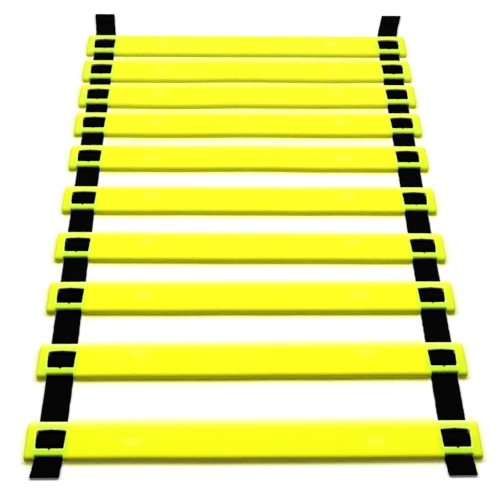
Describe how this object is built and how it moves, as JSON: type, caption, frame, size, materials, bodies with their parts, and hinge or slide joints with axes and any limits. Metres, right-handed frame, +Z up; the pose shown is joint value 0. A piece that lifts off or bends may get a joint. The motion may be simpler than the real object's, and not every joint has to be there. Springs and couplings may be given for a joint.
{
  "type": "agility ladder",
  "caption": "Flat-rung agility ladder: moulded rungs threaded on two webbing straps, along which they slide to set their spacing.",
  "frame": {"origin": "on the floor, under the middle of the ladder's length and width, with the rungs spaced as in the picture", "axes": "+X along the rungs to the right strap, +Y along the straps from the near end (rung_10) to the far end (rung_01), +Z up"},
  "size_m": [0.42, 0.661, 0.0069],
  "materials": {
    "rung_plastic": "fluorescent yellow moulded polypropylene, satin, slightly see-through at thin edges",
    "strap_webbing": "black woven polypropylene webbing, dull"
  },
  "bodies": {
    "near_rung": {"rung_10": "rung_plastic", "strap_left": "strap_webbing", "strap_right": "strap_webbing"},
    "ninth_rung": {"rung_09": "rung_plastic"},
    "eighth_rung": {"rung_08": "rung_plastic"},
    "seventh_rung": {"rung_07": "rung_plastic"},
    "sixth_rung": {"rung_06": "rung_plastic"},
    "fifth_rung": {"rung_05": "rung_plastic"},
    "fourth_rung": {"rung_04": "rung_plastic"},
    "third_rung": {"rung_03": "rung_plastic"},
    "second_rung": {"rung_02": "rung_plastic"},
    "far_rung": {"rung_01": "rung_plastic"}
  },
  "joints": [
    {"name": "rung_09_slide", "type": "slide", "parent": "near_rung", "child": "ninth_rung", "axis": [0, 1, 0], "range_m": [-0.0455, 0.3655], "deforming": ["strap_left", "strap_right"]},
    {"name": "rung_08_slide", "type": "slide", "parent": "ninth_rung", "child": "eighth_rung", "axis": [0, 1, 0], "range_m": [-0.0357, 0.3753]},
    {"name": "rung_07_slide", "type": "slide", "parent": "eighth_rung", "child": "seventh_rung", "axis": [0, 1, 0], "range_m": [-0.0264, 0.3846]},
    {"name": "rung_06_slide", "type": "slide", "parent": "seventh_rung", "child": "sixth_rung", "axis": [0, 1, 0], "range_m": [-0.0278, 0.3832]},
    {"name": "rung_05_slide", "type": "slide", "parent": "sixth_rung", "child": "fifth_rung", "axis": [0, 1, 0], "range_m": [-0.026, 0.385]},
    {"name": "rung_04_slide", "type": "slide", "parent": "fifth_rung", "child": "fourth_rung", "axis": [0, 1, 0], "range_m": [-0.0169, 0.3941]},
    {"name": "rung_03_slide", "type": "slide", "parent": "fourth_rung", "child": "third_rung", "axis": [0, 1, 0], "range_m": [-0.0116, 0.3994]},
    {"name": "rung_02_slide", "type": "slide", "parent": "third_rung", "child": "second_rung", "axis": [0, 1, 0], "range_m": [-0.0078, 0.4032]},
    {"name": "rung_01_slide", "type": "slide", "parent": "second_rung", "child": "far_rung", "axis": [0, 1, 0], "range_m": [-0.0104, 0.4006]}
  ]
}
